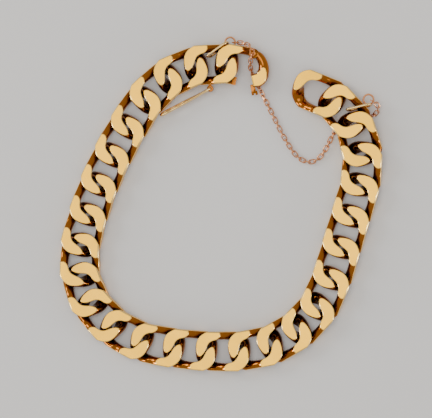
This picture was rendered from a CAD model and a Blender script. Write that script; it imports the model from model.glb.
"""The looks of a gold curb-link bracelet with its clasp, safety catch, jump rings and safety chain.

Every piece is modelled in millimetres at the origin, laid in its place and then brought to metres.
"""
import logging
import math
from collections.abc import Callable, Iterator, Sequence
from contextlib import contextmanager
from dataclasses import astuple, dataclass
from enum import Enum
from functools import cache
from typing import Any

import bmesh
import bpy
from mathutils import Matrix, Vector

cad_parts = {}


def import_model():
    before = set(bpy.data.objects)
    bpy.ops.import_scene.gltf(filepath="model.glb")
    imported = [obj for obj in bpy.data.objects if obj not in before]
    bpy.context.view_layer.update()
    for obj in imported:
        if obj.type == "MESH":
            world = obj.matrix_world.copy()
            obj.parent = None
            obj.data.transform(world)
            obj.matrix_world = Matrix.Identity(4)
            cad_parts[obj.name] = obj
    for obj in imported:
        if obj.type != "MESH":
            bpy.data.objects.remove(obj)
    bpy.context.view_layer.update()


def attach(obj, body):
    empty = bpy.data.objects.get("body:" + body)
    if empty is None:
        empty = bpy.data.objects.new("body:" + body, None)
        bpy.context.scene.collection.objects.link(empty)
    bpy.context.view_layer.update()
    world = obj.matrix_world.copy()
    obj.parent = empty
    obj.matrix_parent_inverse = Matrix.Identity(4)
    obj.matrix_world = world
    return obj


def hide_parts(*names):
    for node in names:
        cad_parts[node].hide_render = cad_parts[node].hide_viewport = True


log = logging.getLogger("bracelet")

MM = 0.001
# In millimetres: the radius of the torus that a wire starts as, how near a cut's plane a point counts
# as on it, the shortest edge that is kept, and how far a facet may lie from its plane
TORUS_RADIUS = 10.0
CUT_LIMIT = 1e-5
SHORT_EDGE = 0.01
LEVEL_LIMIT = 1e-3
# The least cosine between a facet's normal and its plane's
ALONG_LIMIT = 0.999
# With no window the rotate operator turns the other way
TURN = -1.0
# Points of a facet nearer than this share of its slanted edge become one, so that no tip crosses itself
TIP_SHARE = 0.6
# Faces that meet at less than this shade as one surface
SMOOTH_ANGLE = math.radians(30)
# A rim is rounded where its edges are sharper than this
RIM_ANGLE = math.radians(60)
RIM_SEGMENTS = 2
CYLINDER_SIDES = 40
# Height and width of the chain, in millimetres
CHAIN_H = 3.0
CHAIN_W = 9.2


class Face(Enum):
    """Which material a face wears: its place in the list of a link's or a jump ring's materials."""

    POLISHED = 0
    GROUND = 1
    EDGE = 2
    EYE = 1


@dataclass(frozen=True)
class Section:
    """One cross-section of a wire that is followed in the XY plane, in millimetres.

    Attributes:
        x: Its middle along X.
        y: Its middle along Y.
        facing: Direction of its width, in degrees.
        wide: Half its width.
        tall: Half its height.
        lift: How far its middle is raised.
        twist: How far it is turned about the X axis, in degrees.
        roll: How far it is turned in its own plane, its outer side upwards, in degrees.
    """

    x: float
    y: float
    facing: float
    wide: float
    tall: float
    lift: float = 0.0
    twist: float = 0.0
    roll: float = 0.0


@dataclass(frozen=True)
class Pose:
    """Where a piece lies: its middle in millimetres, its heading and its tip in degrees."""

    middle: Vector
    heading: float
    tip: float = 0.0


def cosd(angle: float) -> float:
    """Cosine of an angle in degrees."""
    return math.cos(math.radians(angle))


def sind(angle: float) -> float:
    """Sine of an angle in degrees."""
    return math.sin(math.radians(angle))


def bound(value: float, low: float, high: float) -> float:
    """The value, kept between two limits."""
    return max(low, min(high, value))


def mix(a: float, b: float, share: float) -> float:
    """The value that lies at a share of the way from a to b."""
    return a + (b - a) * share


def spread(first: float, last: float, steps: int, with_last: bool = False) -> list[float]:
    """Evenly spaced values.

    Args:
        first: The first value.
        last: Where they end.
        steps: Into how many steps the way is divided.
        with_last: Whether the end itself is one of them.

    Returns:
        The values in order.
    """
    return [mix(first, last, step / steps) for step in range(steps + (1 if with_last else 0))]


def arc(x: float, y: float, radius: float, angles: Sequence[float], wire: float) -> list[Section]:
    """Sections of a round wire along an arc.

    Args:
        x: The arc's middle along X.
        y: Its middle along Y.
        radius: Its radius.
        angles: Where the sections are, in degrees.
        wire: Radius of the wire.

    Returns:
        The sections.
    """
    return [Section(x + radius * cosd(a), y + radius * sind(a), a, wire, wire) for a in angles]


class Bench:
    """The operators that shape an object, with what they need selected."""

    @staticmethod
    def take(*pieces: bpy.types.Object) -> None:
        """Selects these objects alone, and makes the first one active.

        Args:
            pieces: The objects.
        """
        bpy.ops.object.select_all(action="DESELECT")
        for piece in pieces:
            piece.select_set(True)
        bpy.context.view_layer.objects.active = pieces[0]

    @staticmethod
    def settle(*pieces: bpy.types.Object) -> None:
        """Puts the place, turn and size of these objects into their meshes."""
        Bench.take(*pieces)
        bpy.ops.object.transform_apply(location=True, rotation=True, scale=True)

    @staticmethod
    def scrap(piece: bpy.types.Object) -> None:
        """Removes an object."""
        Bench.take(piece)
        bpy.ops.object.delete()

    @staticmethod
    def modify(piece: bpy.types.Object, kind: str, **settings: Any) -> None:
        """Puts a modifier on an object, sets it and applies it.

        Args:
            piece: The object.
            kind: The modifier's type.
            settings: What is set on it.
        """
        Bench.take(piece)
        bpy.ops.object.modifier_add(type=kind)
        modifier = piece.modifiers[-1]
        for key, value in settings.items():
            setattr(modifier, key, value)
        bpy.ops.object.modifier_apply(modifier=modifier.name)

    @staticmethod
    @contextmanager
    def editing(piece: bpy.types.Object, mode: str = "VERT") -> Iterator[None]:
        """Edit mode on one object, with everything selected.

        Args:
            piece: The object.
            mode: VERT or FACE.
        """
        Bench.take(piece)
        bpy.ops.object.mode_set(mode="EDIT")
        bpy.ops.mesh.select_mode(type=mode)
        bpy.ops.mesh.select_all(action="SELECT")
        yield
        bpy.ops.object.mode_set(mode="OBJECT")

    @staticmethod
    def pick(piece: bpy.types.Object, mode: str, wanted: Callable[[Any], bool]) -> None:
        """Selects the vertices or the faces that a test accepts, in edit mode.

        Args:
            piece: The object being edited.
            mode: VERT or FACE.
            wanted: The test, given a vertex or a face.
        """
        bpy.ops.mesh.select_mode(type=mode)
        bpy.ops.mesh.select_all(action="DESELECT")
        shape = bmesh.from_edit_mesh(piece.data)
        for part in shape.faces if mode == "FACE" else shape.verts:
            part.select = wanted(part)
        shape.select_flush_mode()

    @staticmethod
    def wear(piece: bpy.types.Object, finish: Face) -> None:
        """Gives the selected faces one of the piece's materials, in edit mode."""
        piece.active_material_index = finish.value
        bpy.ops.object.material_slot_assign()

    @staticmethod
    def set_ring(section: Section, angle: float) -> None:
        """Brings the selected ring of a torus to a section.

        Args:
            section: The section.
            angle: Where the ring stands on the torus, in degrees.
        """
        middle = Vector((TORUS_RADIUS * cosd(angle), TORUS_RADIUS * sind(angle), 0))
        place = Vector((section.x, section.y, section.lift))
        bpy.ops.transform.resize(value=(section.wide, section.wide, section.tall), center_override=middle)
        if section.roll:
            Bench.turn(-angle, "Z", middle)
            Bench.turn(-section.roll, "Y", middle)
            Bench.turn(angle, "Z", middle)
        Bench.turn(section.facing - angle, "Z", middle)
        bpy.ops.transform.translate(value=place - middle)
        Bench.turn(section.twist, "X", Vector((0, 0, 0)))

    @staticmethod
    def turn(angle: float, axis: str, middle: Vector) -> None:
        """Turns what is selected about an axis by an angle in degrees, in edit mode."""
        bpy.ops.transform.rotate(
            value=TURN * math.radians(angle), orient_axis=axis, center_override=middle)

    @staticmethod
    def wire(sections: Sequence[Section], sides: int, closed: bool = True) -> bpy.types.Object:
        """A wire made from a torus: each of its rings is sized, turned and moved to a section.

        Args:
            sections: The sections in order, anticlockwise.
            sides: Number of sides of the wire.
            closed: Whether the last section joins the first.

        Returns:
            The wire, in millimetres.
        """
        bpy.ops.object.select_all(action="DESELECT")
        bpy.ops.mesh.primitive_torus_add(
            major_segments=len(sections), minor_segments=sides, major_radius=TORUS_RADIUS, minor_radius=1)
        piece = bpy.context.object
        ends = {0, len(sections) - 1}
        with Bench.editing(piece):
            for number, section in enumerate(sections):
                Bench.pick(piece, "VERT", lambda point: point.index // sides == number)
                Bench.set_ring(section, 360 * number / len(sections))
            if not closed:
                Bench.pick(
                    piece, "FACE", lambda side: {point.index // sides for point in side.verts} == ends)
                bpy.ops.mesh.delete(type="FACE")
                bpy.ops.mesh.select_mode(type="EDGE")
                bpy.ops.mesh.select_non_manifold()
                bpy.ops.mesh.edge_face_add()
        return piece

    @staticmethod
    def cylinder(radius: float, low: float, high: float, x: float = 0.0, y: float = 0.0,
                 rim: float = 0.0) -> bpy.types.Object:
        """An upright cylinder with softened rims.

        Args:
            radius: Its radius.
            low: Height of its underside.
            high: Height of its top.
            x: Its middle along X.
            y: Its middle along Y.
            rim: How far its rims are softened, or 0.

        Returns:
            The cylinder, in millimetres.
        """
        bpy.ops.object.select_all(action="DESELECT")
        bpy.ops.mesh.primitive_cylinder_add(
            vertices=CYLINDER_SIDES, radius=radius, depth=high - low, location=(x, y, (low + high) / 2))
        return Bench.soften(bpy.context.object, rim)

    @staticmethod
    def block(low: Sequence[float], high: Sequence[float], rim: float = 0.0) -> bpy.types.Object:
        """A box between two corners, with softened edges.

        Args:
            low: Its lowest corner.
            high: Its highest corner.
            rim: How far its edges are softened, or 0.

        Returns:
            The box, in millimetres.
        """
        size, middle = Vector(high) - Vector(low), (Vector(high) + Vector(low)) / 2
        bpy.ops.object.select_all(action="DESELECT")
        bpy.ops.mesh.primitive_cube_add(size=1, location=middle, scale=size)
        return Bench.soften(bpy.context.object, rim)

    @staticmethod
    def soften(piece: bpy.types.Object, width: float) -> bpy.types.Object:
        """Settles a new primitive and rounds its sharp edges.

        Args:
            piece: The object.
            width: Width of the rounding, or 0.

        Returns:
            The object.
        """
        Bench.settle(piece)
        if width:
            Bench.modify(piece, "BEVEL", width=width, segments=RIM_SEGMENTS, limit_method="ANGLE",
                         angle_limit=RIM_ANGLE)
        return piece

    @staticmethod
    def drop_slivers() -> None:
        """Removes faces without area and edges that a cut left too short, in edit mode."""
        bpy.ops.mesh.select_all(action="SELECT")
        bpy.ops.mesh.dissolve_degenerate(threshold=SHORT_EDGE)

    @staticmethod
    def combine(piece: bpy.types.Object, other: bpy.types.Object, operation: str) -> None:
        """Joins another object to a piece or cuts it out, and removes that object.

        Args:
            piece: The object that is changed.
            other: The object that is used up.
            operation: UNION or DIFFERENCE.
        """
        if not any(other.data.materials):
            other.data.materials.clear()
            for material in piece.data.materials:
                other.data.materials.append(material)
        Bench.modify(piece, "BOOLEAN", operation=operation, solver="MANIFOLD", object=other)
        Bench.scrap(other)
        with Bench.editing(piece):
            Bench.drop_slivers()

    @staticmethod
    def grind(piece: bpy.types.Object, planes: Sequence[tuple[Vector, Vector]], edge: float,
              depth: float) -> None:
        """Grinds a piece flat at planes, and leaves a fine slanted edge round each facet.

        Args:
            piece: The object.
            planes: A point and the outward direction of each plane.
            edge: Width of the slanted edge.
            depth: Its depth.
        """
        with Bench.editing(piece, "FACE"):
            for point, outward in planes:
                bpy.ops.mesh.select_all(action="SELECT")
                bpy.ops.mesh.bisect(plane_co=point - depth * outward, plane_no=outward, use_fill=True,
                                    clear_outer=True, threshold=CUT_LIMIT)
            Bench.drop_slivers()
            for point, outward in planes:
                level = outward.dot(point) - depth

                def on_facet(side: Any, outward: Vector = outward, level: float = level) -> bool:
                    """Whether a face lies in the ground plane."""
                    height = side.calc_center_median().dot(outward)
                    return side.normal.dot(outward) > ALONG_LIMIT and abs(height - level) < LEVEL_LIMIT

                Bench.pick(piece, "FACE", on_facet)
                bpy.ops.mesh.dissolve_faces()
                Bench.wear(piece, Face.EDGE)
                bpy.ops.mesh.inset(thickness=edge, depth=depth, use_individual=True)
                Bench.wear(piece, Face.GROUND)
                bpy.ops.mesh.remove_doubles(threshold=TIP_SHARE * edge)
                bpy.ops.mesh.quads_convert_to_tris(ngon_method="BEAUTY")
            Bench.drop_slivers()

    @staticmethod
    def stand_up(piece: bpy.types.Object, angle: float = 90) -> None:
        """Turns a flat piece up about the X axis by an angle in degrees."""
        piece.rotation_euler = (math.radians(angle), 0, 0)
        Bench.settle(piece)

    @staticmethod
    def copy(piece: bpy.types.Object) -> bpy.types.Object:
        """A copy of a piece with a mesh of its own.

        Args:
            piece: The object.

        Returns:
            The copy.
        """
        Bench.take(piece)
        bpy.ops.object.duplicate(linked=False)
        return bpy.context.object

    @staticmethod
    def lay(piece: bpy.types.Object, pose: Pose) -> bpy.types.Object:
        """Lays a piece in its place, still in millimetres.

        Args:
            piece: The object.
            pose: Where it lies.

        Returns:
            The object.
        """
        piece.location = pose.middle
        piece.rotation_euler = (0, -math.radians(pose.tip), math.radians(pose.heading))
        Bench.settle(piece)
        return piece

    @staticmethod
    def finish(piece: bpy.types.Object, name: str, body: str, slot: str) -> None:
        """Brings a laid piece to metres, smooths it, and hands it to the frame under its node's name.

        Args:
            piece: The object.
            name: The CAD node that it stands for.
            body: The body that it moves with.
            slot: The record's material slot.
        """
        piece.scale = (MM, MM, MM)
        Bench.settle(piece)
        bpy.ops.object.shade_smooth_by_angle(angle=SMOOTH_ANGLE, keep_sharp_edges=True)
        piece.name = name + "_metal"
        piece.data.name = name + "_metal"
        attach(piece, body)
        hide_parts(name)
        log.info("%s: %d faces on %s", piece.name, len(piece.data.polygons), body)


@dataclass(frozen=True)
class Run:
    """A run of links that lie alike, as in the part's source.

    Attributes:
        links: How many links.
        turn: How far each turns from the one before, in degrees.
        tip: How far each tips up from level, in degrees.
        spacing: Its distance from the one before, in millimetres.
    """

    links: int
    turn: float
    tip: float
    spacing: float


@dataclass(frozen=True)
class Layout:
    """The way the chain lies. The first link is the clasp link.

    Attributes:
        start: The clasp link's middle, on its underside.
        heading: The clasp link's heading.
        tip: The clasp link's tip.
        runs: The runs of links that follow it.
    """

    start: Vector = Vector((5.21, 32.05, 0.36))
    heading: float = 170
    tip: float = 5.5
    runs: tuple[Run, ...] = (
        Run(1, 13, -1, 7.3), Run(1, 20, -3.3, 7.3), Run(1, 20, -1, 7.2), Run(1, 14, 0, 7.5),
        Run(2, 4, 0, 7.6), Run(2, 5, 0, 7.5), Run(1, 14, 0, 7.2), Run(2, 22, 0, 7.2),
        Run(1, 20, 0, 7.6), Run(1, 17, 0, 7.9), Run(2, 5, 0, 7.8), Run(1, 11, 0, 7.8),
        Run(1, 19, 0, 7.3), Run(1, 17, 0, 7.2), Run(1, 19, 0, 7.2), Run(1, 7, 0, 7.6),
        Run(1, 0, 0, 7.6), Run(1, 0, 0.5, 7.6), Run(1, 12, 2.6, 7.4), Run(1, 21, 5, 7.2),
        Run(1, 26, 0, 7.4), Run(1, 26, -6, 7.3))

    def poses(self) -> list[Pose]:
        """Where each link lies.

        Returns:
            The poses, the clasp link's first.
        """
        found = [Pose(self.start + Vector((0, 0, CHAIN_H / 2)), self.heading, self.tip)]
        for run in self.runs:
            for _ in range(run.links):
                before = found[-1]
                heading = before.heading + run.turn
                step = run.spacing / 2 * (
                    self.ahead(before.heading, before.tip) + self.ahead(heading, run.tip))
                found.append(Pose(before.middle + step, heading, run.tip))
        return found

    @staticmethod
    def ahead(heading: float, tip: float) -> Vector:
        """The direction along a link."""
        return Vector((cosd(heading) * cosd(tip), sind(heading) * cosd(tip), sind(tip)))


@dataclass(frozen=True)
class CurbLink:
    """A curb link: a stadium of oval wire, twisted along its length and ground flat on four sides.

    Attributes:
        half: Half its length, to the middle of the wire.
        side: Half its width, to the middle of the wire.
        end_depth: How deep its rounded ends are.
        wire_end: Half the wire's thickness along the chain, at the ends.
        wire_side: Half its thickness across the chain, at the sides.
        side_tall: Half its height at the sides, before it is ground.
        end_tall: Half its height at the ends, before it is ground.
        hold: How long it keeps the ends' height on the way to the sides.
        dip: How much lower it is in the middle of the sides.
        roll: How far its section is turned at the corners, in degrees.
        twist_rate: Twist for each millimetre.
        twist_most: The most twist.
        edge: Width of the slanted edge round a facet.
        edge_depth: Depth of that edge.
        sides: Sides of the wire.
        end_steps: Sections of a rounded end.
        side_steps: Sections of a straight side.
        past: How far a rounded end begins past the straight side, in degrees.
    """

    half: float = 5.37
    side: float = 3.9
    end_depth: float = 3.2
    wire_end: float = 1.11
    wire_side: float = 1.15
    side_tall: float = 1.53
    end_tall: float = 1.83
    hold: float = 3.3
    dip: float = 0.46
    roll: float = 28
    twist_rate: float = 8.65
    twist_most: float = 46
    edge: float = 0.14
    edge_depth: float = 0.11
    sides: int = 24
    end_steps: int = 24
    side_steps: int = 12
    past: float = 0.1

    @property
    def straight(self) -> float:
        """Half the length of its straight sides."""
        return self.half - self.end_depth

    def section(self, x: float, y: float, turn: float) -> Section:
        """One section of the wire.

        Args:
            x: Its middle along the chain.
            y: Its middle across the chain.
            turn: How far round the link it is, 90 being the middle of a side.

        Returns:
            The section.
        """
        out_x = self.wire_end * cosd(turn)
        out_y = self.wire_side * sind(turn)
        tall = mix(self.end_tall, self.side_tall, abs(sind(turn)) ** self.hold)
        tall -= self.dip * cosd(90 * bound(x / self.straight, -1, 1)) ** 2
        twist = -bound(self.twist_rate * x, -self.twist_most, self.twist_most)
        roll = -math.copysign(self.roll, x * y) * abs(sind(2 * turn))
        facing = math.degrees(math.atan2(out_y, out_x))
        return Section(x, y, facing, math.hypot(out_x, out_y), tall, 0, twist, roll)

    def round_end(self, turns: Sequence[float]) -> list[Section]:
        """Sections of a rounded end.

        Args:
            turns: How far round the link each is, in degrees.

        Returns:
            The sections.
        """
        found = []
        for turn in turns:
            leading = abs((turn + 180) % 360 - 180) < 90 + self.past / 2
            middle = self.straight if leading else -self.straight
            found.append(self.section(middle + self.end_depth * cosd(turn), self.side * sind(turn), turn))
        return found

    def straight_side(self, places: Sequence[float], turn: float) -> list[Section]:
        """Sections of a straight side at places along it: turn 90 is the inner side, 270 the outer one."""
        return [self.section(x, self.side * sind(turn), turn) for x in places]

    def blank(self) -> bpy.types.Object:
        """The whole twisted link before it is ground.

        Returns:
            The link.
        """
        end = self.straight
        sections = self.round_end(spread(-90 + self.past, 90, self.end_steps))
        sections += self.straight_side(spread(end, -end, self.side_steps), 90)
        sections += self.round_end(spread(90 + self.past, 270, self.end_steps))
        sections += self.straight_side(spread(-end, end, self.side_steps), 270)
        return Bench.wire(sections, self.sides)

    def grind(self, piece: bpy.types.Object) -> None:
        """Grinds a link flat above, underneath and along both edges.

        Args:
            piece: The link.
        """
        planes = [(Vector((0, 0, side * CHAIN_H / 2)), Vector((0, 0, side))) for side in (1, -1)]
        planes += [(Vector((0, side * CHAIN_W / 2, 0)), Vector((0, side, 0))) for side in (1, -1)]
        Bench.grind(piece, planes, self.edge, self.edge_depth)

    def build(self) -> bpy.types.Object:
        """A finished link at the origin, in millimetres.

        Returns:
            The link.
        """
        piece = self.blank()
        Dress.LINK.put_on(piece)
        self.grind(piece)
        return piece


@dataclass(frozen=True)
class Hinge:
    """The clasp's hinge, in the clasp link's own axes.

    Attributes:
        x: The pin's place along the link.
        y: The pin's place across it.
        barrel: Radius of the barrels.
        pin: Radius of the pin.
        clearance: Gap round the pin.
        lap: Height at which the gate's barrel begins.
        gap: Gap under and over the gate's barrel.
        top: Top of the gate's barrel.
        head: Radius of the pin's head.
        head_tall: Height of the pin's head.
        rim: How far the rims are softened.
    """

    x: float = -2.2
    y: float = -3.35
    barrel: float = 1.15
    pin: float = 0.45
    clearance: float = 0.12
    lap: float = -0.1
    gap: float = 0.15
    top: float = 0.95
    head: float = 0.8
    head_tall: float = 0.2
    rim: float = 0.08

    def tube(self, low: float, high: float, radius: float, rim: float = 0.0) -> bpy.types.Object:
        """A cylinder about the pin's axis, between two heights."""
        return Bench.cylinder(radius, low, high, self.x, self.y, rim)


@dataclass(frozen=True)
class ClaspLink:
    """The fixed part of the clasp link, with the hinge pin and the low stub the gate closes on.

    Attributes:
        link: The curb link that it is cut from.
        hinge: The hinge.
        lap_x: Where its outer side drops to the hinge.
        stub_x: Where the stub ends.
        stub_step: Where the inner side drops to the stub.
        stub_top: Top of the stub.
        stub_steps: Sections of the inner side, as far as the stub.
        pin_inset: How far the pin's ends stay inside the barrel and the head.
    """

    link: CurbLink = CurbLink()
    hinge: Hinge = Hinge()
    lap_x: float = -0.93
    stub_x: float = 0.85
    stub_step: float = 1.72
    stub_top: float = -0.7
    stub_steps: int = 6
    pin_inset: tuple[float, float] = (0.1, 0.05)

    def build(self) -> bpy.types.Object:
        """The fixed part at the origin, in millimetres.

        Returns:
            The piece.
        """
        link, hinge, far = self.link, self.hinge, 2 * CHAIN_W
        sections = link.straight_side(spread(hinge.x, link.straight, link.side_steps), 270)
        sections += link.round_end(spread(-90, 90, link.end_steps))
        sections += link.straight_side(spread(link.straight, self.stub_x, self.stub_steps, True), 90)
        piece = Bench.wire(sections, link.sides, closed=False)
        Dress.LINK.put_on(piece)
        link.grind(piece)
        under = -CHAIN_H / 2
        lap_top = hinge.lap - hinge.gap
        head_low = hinge.top + hinge.gap
        pin_top = head_low + hinge.head_tall
        for waste in (Bench.block((-far, -far, lap_top), (self.lap_x, 0, far)),
                      Bench.block((-far, 0, self.stub_top), (self.stub_step, far, far))):
            Bench.combine(piece, waste, "DIFFERENCE")
        foot_inset, head_inset = self.pin_inset
        for part in (hinge.tube(under, lap_top, hinge.barrel, hinge.rim),
                     hinge.tube(under + foot_inset, pin_top - head_inset, hinge.pin),
                     hinge.tube(head_low, pin_top, hinge.head, hinge.rim)):
            Bench.combine(piece, part, "UNION")
        return piece


@dataclass(frozen=True)
class GateRow:
    """A section of the gate.

    Attributes:
        along: Its place along the chain.
        turn: Its angle round the gate's end, in degrees.
        top: Its top before grinding.
        wide: Half its width.
        flank: How much further it reaches on its inner side.
    """

    along: float
    turn: float
    top: float
    wide: float
    flank: float = 0.0

    def towards(self, other: "GateRow", share: float) -> "GateRow":
        """The row that lies at a share of the way to another."""
        return GateRow(*(mix(a, b, share) for a, b in zip(astuple(self), astuple(other))))


@dataclass(frozen=True)
class ClaspGate:
    """The opening part of the clasp link: a bent bar with a forked thumb tab, on the hinge's pin.

    Attributes:
        hinge: The hinge.
        opened: How far it stands open, in degrees.
        depth: Depth of its rounded end.
        middle_y: Middle of its rounded end across the chain.
        side: Half the width of its rounded end.
        under: How far its unground underside reaches below the lap.
        rows: Its sections, from its free end to the hinge.
        between: Sections from one row to the next.
        tab: The blocks of its thumb tab: a neck, a foot and two prongs.
        tab_rim: How far their edges are softened.
        edge: Width of the slanted edge round its facet.
        edge_depth: Depth of that edge.
        sides: Sides of its bar.
        bore_past: How far the bore's cutter reaches past the barrel.
    """

    hinge: Hinge = Hinge()
    opened: float = 22
    depth: float = 2.0
    middle_y: float = -0.25
    side: float = 3.1
    under: float = 0.55
    rows: tuple[GateRow, ...] = (
        GateRow(-0.45, 90, 1.7, 1.4), GateRow(-0.65, 90, 2.0, 1.52), GateRow(-1.9, 90, 2.15, 1.62),
        GateRow(-1.9, 125, 2.0, 1.38, 0.2), GateRow(-1.9, 155, 1.6, 1.13, 0.15),
        GateRow(-1.9, 182, 1.3, 1.04, 0.1), GateRow(-1.9, 215, 1.05, 0.97, 0.1),
        GateRow(-1.9, 245, 0.93, 0.88, 0.05), GateRow(-1.9, 268, 0.85, 0.75))
    between: int = 5
    tab: tuple[tuple[tuple[float, float, float], tuple[float, float, float]], ...] = (
        ((-0.85, 3.6, 0.1), (0.2, 5.4, 1.0)), ((-1.15, 5.2, 0.12), (0.3, 5.75, 0.98)),
        ((-1.15, 5.4, 0.14), (-0.6, 6.2, 0.96)), ((-0.25, 5.4, 0.14), (0.3, 6.1, 0.96)))
    tab_rim: float = 0.08
    edge: float = 0.12
    edge_depth: float = 0.08
    sides: int = 20
    bore_past: float = 1

    def sections(self) -> list[Section]:
        """The sections of its bar, with more worked out between the rows.

        Returns:
            The sections.
        """
        found = []
        low = self.hinge.lap - self.under
        for before, after in zip(self.rows, self.rows[1:]):
            for share in spread(0, 1, self.between, after is self.rows[-1]):
                row = before.towards(after, share)
                x = row.along + (self.depth - row.flank) * cosd(row.turn)
                y = self.middle_y + (self.side - row.flank) * sind(row.turn)
                tall, lift = (row.top - low) / 2, (row.top + low) / 2
                found.append(Section(x, y, row.turn, row.wide + row.flank, tall, lift))
        return found

    def build(self) -> bpy.types.Object:
        """The gate at the origin, turned open, in millimetres.

        Returns:
            The piece.
        """
        hinge = self.hinge
        piece = Bench.wire(self.sections(), self.sides, closed=False)
        Dress.LINK.put_on(piece)
        planes = [(Vector((0, 0, height)), Vector((0, 0, way)))
                  for height, way in ((CHAIN_H / 2, 1), (hinge.lap, -1))]
        Bench.grind(piece, planes, self.edge, self.edge_depth)
        for low, high in self.tab:
            Bench.combine(piece, Bench.block(low, high, self.tab_rim), "UNION")
        Bench.combine(piece, hinge.tube(hinge.lap, hinge.top, hinge.barrel, hinge.rim), "UNION")
        low, high = hinge.lap - self.bore_past, hinge.top + self.bore_past
        Bench.combine(piece, hinge.tube(low, high, hinge.pin + hinge.clearance), "DIFFERENCE")
        pin = Vector((hinge.x, hinge.y, 0))
        turn = Matrix.Rotation(math.radians(self.opened), 4, "Z")
        piece.matrix_world = Matrix.Translation(pin) @ turn @ Matrix.Translation(-pin)
        Bench.settle(piece)
        return piece


@dataclass(frozen=True)
class Staple:
    """The small tube soldered to link_02, in which the safety catch turns.

    Attributes:
        x: Its place along link_02.
        y: Its place across link_02.
        height: Height of its middle above the surface.
        tall: Its height.
        radius: Outer radius of its tube.
        foot: Length of the foot that joins it to the link.
        foot_wide: Width of that foot.
        foot_inset: How much lower the foot's top is than the tube's, and how much higher its underside.
        bore: Radius of its bore.
        rim: How far its rims are softened.
    """

    x: float = 0.6
    y: float = 5.6
    height: float = 1.75
    tall: float = 1.0
    radius: float = 0.75
    foot: float = 1.6
    foot_wide: float = 0.7
    foot_inset: float = 0.06
    bore: float = 0.4
    rim: float = 0.06

    def place(self, link: Pose) -> Vector:
        """Its middle.

        Args:
            link: Where link_02 lies.

        Returns:
            The point.
        """
        c, s = cosd(link.heading), sind(link.heading)
        return Vector((link.middle.x + c * self.x - s * self.y, link.middle.y + s * self.x + c * self.y,
                       self.height))

    def add_to(self, piece: bpy.types.Object, link: Pose) -> None:
        """Solders the staple to a laid link.

        Args:
            piece: The laid link.
            link: Where it lies.
        """
        half = self.tall / 2
        foot_corner = Vector((self.foot, self.foot_wide / 2, half - self.foot_inset))
        tube = Bench.cylinder(self.radius, -half, half, rim=self.rim)
        foot = Bench.block((0, -foot_corner.y, -foot_corner.z), foot_corner)
        Bench.combine(tube, foot, "UNION")
        Bench.combine(tube, Bench.cylinder(self.bore, -self.tall, self.tall), "DIFFERENCE")
        Bench.lay(tube, Pose(self.place(link), link.heading - 90))
        Bench.combine(piece, tube, "UNION")


@dataclass(frozen=True)
class SafetyCatch:
    """The wire loop, pinched into a figure eight, that stands on edge and turns in the staple.

    Attributes:
        length: Its length.
        wire: Radius of its wire.
        heading: Direction in which it is folded back.
        high: Half its height at both ends.
        waist: Half its height at the pinch.
        waist_share: Where the pinch is, as a share of its length.
        lean: How far its two wires lean apart at the tip.
        corner: Radius of the bend at the pin.
        corner_steps: Steps round each of its corners.
        side_steps: Steps along each of its wires.
        tip_steps: Steps round its tip.
        tip_reach: How far the tip's sections reach to either side of its end, in degrees.
        sides: Sides of its wire.
    """

    length: float = 13.4
    wire: float = 0.285
    heading: float = 207.5
    high: float = 0.85
    waist: float = 0.36
    waist_share: float = 0.62
    lean: float = 0.28
    corner: float = 0.3
    corner_steps: int = 3
    side_steps: int = 24
    tip_steps: int = 10
    tip_reach: float = 75
    sides: int = 12

    def rise(self, share: float) -> float:
        """How far above the middle its upper wire runs.

        Args:
            share: The place, as a share of the straight length.

        Returns:
            The height.
        """
        if share < self.waist_share:
            return self.waist + (self.high - self.waist) * cosd(90 * share / self.waist_share)
        beyond = min(0.5, (share - self.waist_share) / (1 - self.waist_share))
        return self.waist + (self.high - self.waist) * sind(180 * beyond)

    def path(self) -> list[tuple[float, float, float]]:
        """The middle of its wire, anticlockwise: along, up, and out of the plane.

        Returns:
            The points.
        """
        end = self.length - self.high - self.wire
        shares = [share for share in spread(0, 1, self.side_steps, True) if share * end > self.corner]
        low = [(self.corner * (1 - cosd(a)), self.corner * (1 - sind(a)) - self.high, 0.0)
               for a in spread(0, 90, self.corner_steps, True)]
        lower = [(k * end, -self.rise(k), self.lean * sind(90 * k)) for k in shares]
        tip = [(end + self.high * cosd(a), self.high * sind(a), -self.lean * sind(a))
               for a in spread(-self.tip_reach, self.tip_reach, self.tip_steps, True)]
        upper = [(k * end, self.rise(k), -self.lean * sind(90 * k)) for k in reversed(shares)]
        return low + lower + tip + upper + [(x, -up, 0.0) for x, up, _ in reversed(low)]

    def build(self, place: Vector) -> bpy.types.Object:
        """The catch in its place, in millimetres.

        Args:
            place: The middle of the staple.

        Returns:
            The piece.
        """
        path = self.path()
        sections = []
        for number, (x, up, out) in enumerate(path):
            before, after = path[number - 1], path[(number + 1) % len(path)]
            facing = math.degrees(math.atan2(after[1] - before[1], after[0] - before[0])) - 90
            sections.append(Section(x, up, facing, self.wire, self.wire, out))
        piece = Bench.wire(sections, self.sides)
        Dress.CATCH.put_on(piece)
        Bench.stand_up(piece)
        return Bench.lay(piece, Pose(place, self.heading))


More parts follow.
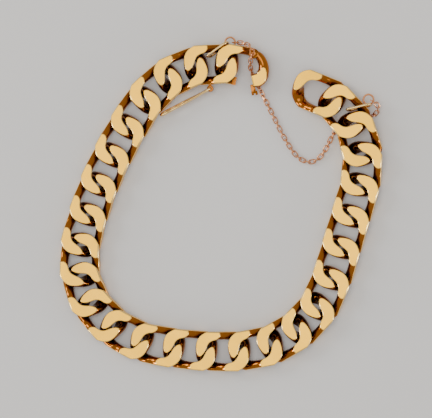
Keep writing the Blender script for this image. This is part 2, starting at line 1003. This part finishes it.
@dataclass(frozen=True)
class JumpRing:
    """An upright oval ring round the outer side of a link, with a round eye soldered to it.

    Attributes:
        inner: Its inner end, from the clasp link's middle.
        heading: The direction it leads in.
        length: Its length.
        low: Height of its lower wire.
        high: Height of its upper wire.
        eye: The eye's middle, from the clasp link's middle.
        wire: Radius of its wire.
        eye_wire: Radius of the eye's wire.
        eye_radius: Radius of the eye.
        corner: Radius of its corners.
        lean: How far it leans over, in degrees.
        corner_steps: Steps round each corner.
        eye_steps: Sections of the eye.
        sides: Sides of its wire.
    """

    inner: tuple[float, float]
    heading: float
    length: float
    low: float
    high: float
    eye: tuple[float, float]
    wire: float = 0.27
    eye_wire: float = 0.22
    eye_radius: float = 1.18
    corner: float = 0.9
    lean: float = 3
    corner_steps: int = 6
    eye_steps: int = 28
    sides: int = 12

    def build(self, start: Vector) -> bpy.types.Object:
        """The ring in its place, in millimetres.

        Args:
            start: The clasp link's middle.

        Returns:
            The piece.
        """
        rise = (self.high - self.low) / 2 - self.corner
        far = self.length - self.corner
        corners = ((far, -rise, -90), (far, rise, 0), (self.corner, rise, 90), (self.corner, -rise, 180))
        middle = Vector((start.x, start.y, (self.low + self.high) / 2))
        sections = []
        for x, y, first in corners:
            turns = spread(first, first + 90, self.corner_steps, True)
            sections += arc(x, y, self.corner, turns, self.wire)
        oval = Bench.wire(sections, self.sides)
        Dress.RING.put_on(oval)
        Bench.stand_up(oval, 90 - self.lean)
        Bench.lay(oval, Pose(middle + Vector(self.inner).to_3d(), self.heading))
        turns = spread(0, 360, self.eye_steps)
        eye = Bench.wire(arc(0, 0, self.eye_radius, turns, self.eye_wire), self.sides)
        Dress.RING.put_on(eye)
        with Bench.editing(eye, "FACE"):
            Bench.wear(eye, Face.EYE)
        Bench.lay(eye, Pose(middle + Vector(self.eye).to_3d(), 0))
        Bench.combine(oval, eye, "UNION")
        return oval


@dataclass(frozen=True)
class SafetyChain:
    """The fine cable chain between the two eyes, its links alternately upright and flat.

    Attributes:
        wire: Radius of its wire.
        length: Length of a link.
        width: Width of a link.
        pitch: Distance from one link to the next.
        steps: Points worked out between two places of the route.
        turn_steps: Steps round each end of a link.
        sides: Sides of its wire.
        route: Places chosen by hand, from the clasp link's middle: x, y, height and lean.
    """

    wire: float = 0.135
    length: float = 1.96
    width: float = 1.18
    pitch: float = 1.16
    steps: int = 6
    turn_steps: int = 7
    sides: int = 8
    route: tuple[tuple[float, float, float, float], ...] = (
        (-2.05, 5.54, 2.03, 0), (-1.1, 5.52, 2.1, 0), (0.0, 5.42, 2.55, 0), (1.0, 5.1, 3.3, 0),
        (1.9, 4.6, 3.9, 0), (2.5, 3.8, 4.2, 0), (2.6, 2.8, 4.1, 0), (2.35, 1.85, 3.6, 0),
        (2.05, 0.95, 2.85, 0), (1.9, 0.1, 2.0, 0), (1.95, -0.75, 1.25, 0), (2.2, -1.7, 0.72, 15),
        (2.7, -2.8, 0.5, 35), (3.95, -5.3, 0.52, 30), (5.4, -8.2, 0.56, 10), (6.95, -11.2, 0.57, 0),
        (9.35, -16.0, 0.59, 0), (11.85, -20.0, 0.59, 0), (13.75, -21.75, 0.59, 0),
        (15.95, -22.3, 0.59, 0), (17.9, -21.35, 0.59, 0), (19.25, -19.5, 0.59, 0),
        (20.5, -17.1, 0.57, 5), (21.7, -14.9, 0.52, 30), (23.1, -12.9, 0.48, 45),
        (24.8, -11.8, 0.47, 45), (26.6, -11.6, 0.47, 45), (28.3, -11.8, 0.47, 45),
        (29.8, -11.75, 0.5, 35), (31.0, -11.2, 0.8, 20), (31.65, -10.2, 1.35, 5),
        (31.55, -9.25, 1.95, 0), (30.85, -8.5, 2.5, 0), (30.2, -8.25, 2.6, 0))

    def line(self) -> list[Vector]:
        """The route as a smooth curve, in four dimensions: the place and the lean.

        Returns:
            Its points.
        """
        spots = [Vector(row) for row in self.route]
        found = []
        for number in range(len(spots) - 1):
            a, b, c = spots[max(number - 1, 0)], spots[number], spots[number + 1]
            d = spots[min(number + 2, len(spots) - 1)]
            for t in spread(0, 1, self.steps):
                found.append(0.5 * (2 * b + (c - a) * t + (2 * a - 5 * b + 4 * c - d) * t * t
                                    + (3 * b - a - 3 * c + d) * t * t * t))
        return found

    def link(self) -> bpy.types.Object:
        """One link at the origin, lying flat.

        Returns:
            The link.
        """
        turn = self.width / 2 - self.wire
        straight = self.length / 2 - self.width / 2
        sections = []
        for side in (1, -1):
            turns = spread(-90 * side, 180 - 90 * side, self.turn_steps, True)
            sections += arc(side * straight, 0, turn, turns, self.wire)
        piece = Bench.wire(sections, self.sides)
        Dress.FINE_CHAIN.put_on(piece)
        return piece

    def build(self, start: Vector) -> bpy.types.Object:
        """The whole chain in its place, in millimetres.

        Args:
            start: The clasp link's middle.

        Returns:
            The piece.
        """
        line = self.line()
        marks = [0.0]
        for before, after in zip(line, line[1:]):
            marks.append(marks[-1] + (after.xyz - before.xyz).length)

        def at(way: float) -> Vector:
            """The curve's point at a way along it.

            Args:
                way: The way from its start, in millimetres.

            Returns:
                The point.
            """
            number = next((n for n, mark in enumerate(marks) if mark > way), len(marks) - 1)
            share = (way - marks[number - 1]) / (marks[number] - marks[number - 1])
            return line[number - 1].lerp(line[number], share)

        count = 2 * int(marks[-1] / self.pitch / 2) + 1
        step = marks[-1] / count
        model = self.link()
        links = []
        for number in range(count):
            way = (number + 0.5) * step
            here = at(way)
            along = (at(way + step / 2) - at(way - step / 2)).xyz.normalized()
            level = Vector((0, 0, 1)).cross(along).normalized()
            lean = here.w + (90 if number % 2 == 0 else 0)
            across = cosd(lean) * level + sind(lean) * along.cross(level)
            piece = Bench.copy(model)
            piece.matrix_world = Matrix.Translation(here.xyz + Vector((start.x, start.y, 0))) @ Matrix(
                (along, across, along.cross(across))).transposed().to_4x4()
            links.append(piece)
        Bench.scrap(model)
        Bench.settle(*links)
        bpy.ops.object.join()
        return links[0]


class Signal:
    """A shader value, with the arithmetic that the finishes use."""

    def __init__(self, graph: "Graph", socket: Any) -> None:
        """Wraps a socket.

        Args:
            graph: The graph that it belongs to.
            socket: The output socket.
        """
        self.graph = graph
        self.socket = socket

    def __add__(self, other: Any) -> "Signal":
        """The sum."""
        return self.graph.calculate("ADD", self, other)

    def __radd__(self, other: Any) -> "Signal":
        """The sum, with the plain number first."""
        return self.graph.calculate("ADD", other, self)

    def __mul__(self, other: Any) -> "Signal":
        """The product."""
        return self.graph.calculate("MULTIPLY", self, other)

    def __rmul__(self, other: Any) -> "Signal":
        """The product, with the plain number first."""
        return self.graph.calculate("MULTIPLY", other, self)

    def __sub__(self, other: Any) -> "Signal":
        """The difference."""
        return self.graph.calculate("SUBTRACT", self, other)

    def __rsub__(self, other: Any) -> "Signal":
        """The difference, with the plain number first."""
        return self.graph.calculate("SUBTRACT", other, self)

    def __pow__(self, other: Any) -> "Signal":
        """The power."""
        return self.graph.calculate("POWER", self, other)


class Graph:
    """A material's nodes."""

    def __init__(self, name: str) -> None:
        """Makes a material with a Principled shader.

        Args:
            name: The material's name.
        """
        self.material = bpy.data.materials.new(name)
        self.material.use_nodes = True
        self.nodes = self.material.node_tree.nodes
        self.links = self.material.node_tree.links
        self.shader = next(node for node in self.nodes if node.type == "BSDF_PRINCIPLED")

    def put(self, socket: Any, value: Any) -> None:
        """Sets a socket to a value, or links it.

        Args:
            socket: The input socket.
            value: A Signal, a number or a tuple.
        """
        if isinstance(value, Signal):
            self.links.new(value.socket, socket)
        else:
            socket.default_value = value

    def add(self, kind: str, settings: dict[str, Any], values: dict[Any, Any], output: Any = 0) -> Signal:
        """Adds a node.

        Args:
            kind: The node's type.
            settings: What is set on the node before its sockets.
            values: What goes into its sockets, by name or number.
            output: Which output is wanted.

        Returns:
            That output.
        """
        node = self.nodes.new(kind)
        for key, value in settings.items():
            setattr(node, key, value)
        for key, value in values.items():
            self.put(node.inputs[key], value)
        return Signal(self, node.outputs[output])

    def calculate(self, operation: str, a: Any, b: Any) -> Signal:
        """The result of a Math node's operation on two numbers."""
        return self.add("ShaderNodeMath", {"operation": operation}, {0: a, 1: b})

    def blend(self, share: Any, a: Any, b: Any) -> Signal:
        """A colour between two others: share 0 gives the first, 1 the second."""
        return self.add("ShaderNodeMix", {"data_type": "RGBA"}, {0: share, 6: a, 7: b}, 2)

    def noise(self, scale: float, detail: float) -> Signal:
        """Noise on the object's own coordinates, with so many waves for each metre and finer layers."""
        place = self.add("ShaderNodeTexCoord", {}, {}, "Object")
        return self.add("ShaderNodeTexNoise", {}, {"Vector": place, "Scale": scale, "Detail": detail})

    def finish(self, **values: Any) -> bpy.types.Material:
        """Feeds the shader.

        Args:
            values: What goes into its sockets, by name with _ for a space.

        Returns:
            The material.
        """
        for key, value in values.items():
            self.put(self.shader.inputs[key.replace("_", " ")], value)
        return self.material


@dataclass(frozen=True)
class Gold:
    """A gold surface.

    Attributes:
        name: The material's name.
        bright: Its colour in the open.
        deep: Its colour in the hollows.
        roughness: How rough it is.
        grain: Waves of its fine grain for each metre.
        relief: Depth of that grain, in metres.
        hollow: How near a wall makes a hollow, in metres.
        hollow_power: How fast its colour deepens in a hollow: the lower, the faster.
        rays: Rays that look for a hollow's walls.
        grain_layers: Finer layers of the grain.
        bump: Strength of the grain.
        cloud: Waves of its broad unevenness for each metre.
        cloud_layers: Finer layers of that unevenness.
        tint: How much of the hollows' colour the unevenness brings.
        matt: Share of the roughness without the unevenness, and the share that it adds at most.
    """

    name: str
    bright: tuple[float, float, float, float]
    deep: tuple[float, float, float, float]
    roughness: float
    grain: float
    relief: float
    hollow: float = 0.0025
    hollow_power: float = 0.8
    rays: int = 8
    grain_layers: float = 3
    bump: float = 0.6
    cloud: float = 180
    cloud_layers: float = 2
    tint: float = 0.14
    matt: tuple[float, float] = (0.8, 0.4)

    @cache
    def make(self) -> bpy.types.Material:
        """Makes the material, once for each finish.

        Returns:
            The material.
        """
        graph = Graph(self.name)
        cloud = graph.noise(self.cloud, self.cloud_layers)
        grain = graph.noise(self.grain, self.grain_layers)
        open_share = graph.add(
            "ShaderNodeAmbientOcclusion", {"samples": self.rays}, {"Distance": self.hollow}, "AO")
        colour = graph.blend((1 - open_share) ** self.hollow_power, self.bright, self.deep)
        colour = graph.blend(cloud * self.tint, colour, self.deep)
        bump = graph.add(
            "ShaderNodeBump", {}, {"Distance": self.relief, "Strength": self.bump, "Height": grain})
        kept, added = self.matt
        return graph.finish(Base_Color=colour, Metallic=1.0, Normal=bump,
                            Roughness=self.roughness * (kept + added * cloud))


GROUND = Gold("ground_gold", (1.0, 0.54, 0.03, 1), (0.7, 0.28, 0.02, 1), 0.28, 9000, 0.000004)
POLISHED = Gold("polished_gold", (0.47, 0.155, 0.022, 1), (0.03, 0.007, 0.001, 1), 0.13, 4000, 0.000003)
EDGE = Gold("edge_gold", (1.0, 0.72, 0.26, 1), (0.8, 0.4, 0.1, 1), 0.3, 6000, 0.000002)
PALE = Gold("pale_gold_wire", (1.0, 0.7, 0.28, 1), (0.5, 0.22, 0.05, 1), 0.24, 5000, 0.000003)
ROSE = Gold("rose_gold_wire", (0.98, 0.46, 0.21, 1), (0.32, 0.1, 0.03, 1), 0.24, 6000, 0.000003, 0.001)


class Dress(Enum):
    """What each kind of piece wears, in the order that Face names."""

    LINK = (POLISHED, GROUND, EDGE)
    CATCH = (PALE,)
    RING = (PALE, ROSE)
    FINE_CHAIN = (ROSE,)

    def put_on(self, piece: bpy.types.Object) -> None:
        """Gives a piece these materials.

        Args:
            piece: The object.
        """
        piece.data.materials.clear()
        for gold in self.value:
            piece.data.materials.append(gold.make())


@dataclass(frozen=True)
class Lamp:
    """A square soft lamp that faces the bracelet: its place and side in metres, its power in watts."""

    name: str
    place: tuple[float, float, float]
    side: float
    power: float

    def add(self) -> None:
        """Adds the lamp to the scene."""
        bpy.ops.object.select_all(action="DESELECT")
        bpy.ops.object.light_add(type="AREA", location=self.place)
        light = bpy.context.object
        light.name = self.name
        light.data.size = self.side
        light.data.energy = self.power
        light.rotation_euler = (-Vector(self.place)).to_track_quat("-Z", "Y").to_euler()


@dataclass(frozen=True)
class Studio:
    """The camera, the lights and the pale surface, with lengths in metres.

    Attributes:
        target: What the camera looks at.
        distance: The camera's distance.
        lean: How far it stands to the right of straight above, in degrees.
        view_width: How much it takes in from side to side.
        sensor: The sensor's width, in millimetres.
        nearest: The least distance that the camera shows.
        surface: Colour of the surface.
        surface_roughness: Its roughness.
        surface_side: Its side.
        surface_drop: How far it lies below the bracelet.
        lamps: The lamps.
        sky: Colour of the light from all round.
    """

    target: Vector = Vector((-0.0008, -0.0012, 0.003))
    distance: float = 0.7
    lean: float = 8
    view_width: float = 0.1006
    sensor: float = 36
    nearest: float = 0.01
    surface: tuple[float, float, float, float] = (0.86, 0.85, 0.83, 1)
    surface_roughness: float = 0.75
    surface_side: float = 3
    surface_drop: float = 0.00006
    lamps: tuple[Lamp, ...] = (
        Lamp("overhead_softbox", (-0.05, 0.05, 0.9), 0.6, 2.4),
        Lamp("left_softbox", (-0.7, 0.35, 0.45), 0.35, 2),
        Lamp("left_strip", (-0.7, -0.2, 0.12), 0.16, 1.2),
        Lamp("right_strip", (0.7, -0.3, 0.14), 0.16, 1.2))
    sky: tuple[float, float, float, float] = (0.6, 0.58, 0.56, 1)

    def camera(self) -> None:
        """Makes the camera."""
        away = Vector((sind(self.lean), 0, cosd(self.lean))) * self.distance
        bpy.ops.object.select_all(action="DESELECT")
        bpy.ops.object.camera_add(location=self.target + away)
        camera = bpy.context.object
        camera.name = "camera"
        camera.rotation_euler = (0, math.radians(self.lean), 0)
        camera.data.sensor_width = self.sensor
        camera.data.lens = self.sensor * self.distance / self.view_width
        camera.data.clip_start = self.nearest
        bpy.context.scene.camera = camera

    def floor(self) -> None:
        """Makes the pale surface."""
        bpy.ops.object.select_all(action="DESELECT")
        bpy.ops.mesh.primitive_plane_add(size=self.surface_side, location=(0, 0, -self.surface_drop))
        plane = bpy.context.object
        plane.name = "pale_surface"
        graph = Graph("pale_surface")
        plane.data.materials.append(graph.finish(Base_Color=self.surface, Roughness=self.surface_roughness))

    def build(self) -> None:
        """Makes the lights and the surface."""
        self.floor()
        for lamp in self.lamps:
            lamp.add()
        world = bpy.data.worlds.new("studio")
        world.use_nodes = True
        background = world.node_tree.nodes["Background"]
        background.inputs["Color"].default_value = self.sky
        background.inputs["Strength"].default_value = 1.0
        bpy.context.scene.world = world


def main() -> None:
    """Builds the pieces in order."""
    logging.basicConfig(level=logging.INFO, format="%(message)s")
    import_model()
    studio = Studio()
    studio.camera()
    layout = Layout()
    poses = layout.poses()
    start = layout.start

    model = CurbLink().build()
    for number in range(2, len(poses) + 1):
        piece = Bench.lay(Bench.copy(model), poses[number - 1])
        if number == 2:
            Staple().add_to(piece, poses[1])
        Bench.finish(piece, f"link_{number:02d}", "root", "gold")
    Bench.scrap(model)

    Bench.finish(Bench.lay(ClaspLink().build(), poses[0]), "clasp_link", "root", "gold")
    Bench.finish(Bench.lay(ClaspGate().build(), poses[0]), "clasp_gate", "gate", "gold")
    Bench.finish(SafetyCatch().build(Staple().place(poses[1])), "safety_catch", "catch", "pale_gold")
    left = JumpRing(inner=(-8.0, 2.3), heading=35, length=5.6, low=0.26, high=3.82, eye=(-2.82, 5.59))
    right = JumpRing(inner=(24.6, -10.31), heading=12.5, length=5.6, low=0.65, high=4.4, eye=(29.56, -7.92))
    Bench.finish(left.build(start), "ring_left", "root", "pale_gold")
    Bench.finish(right.build(start), "ring_right", "root", "pale_gold")
    Bench.finish(SafetyChain().build(start), "safety_chain", "root", "rose_gold")
    studio.build()


if __name__ == "__main__":
    main()
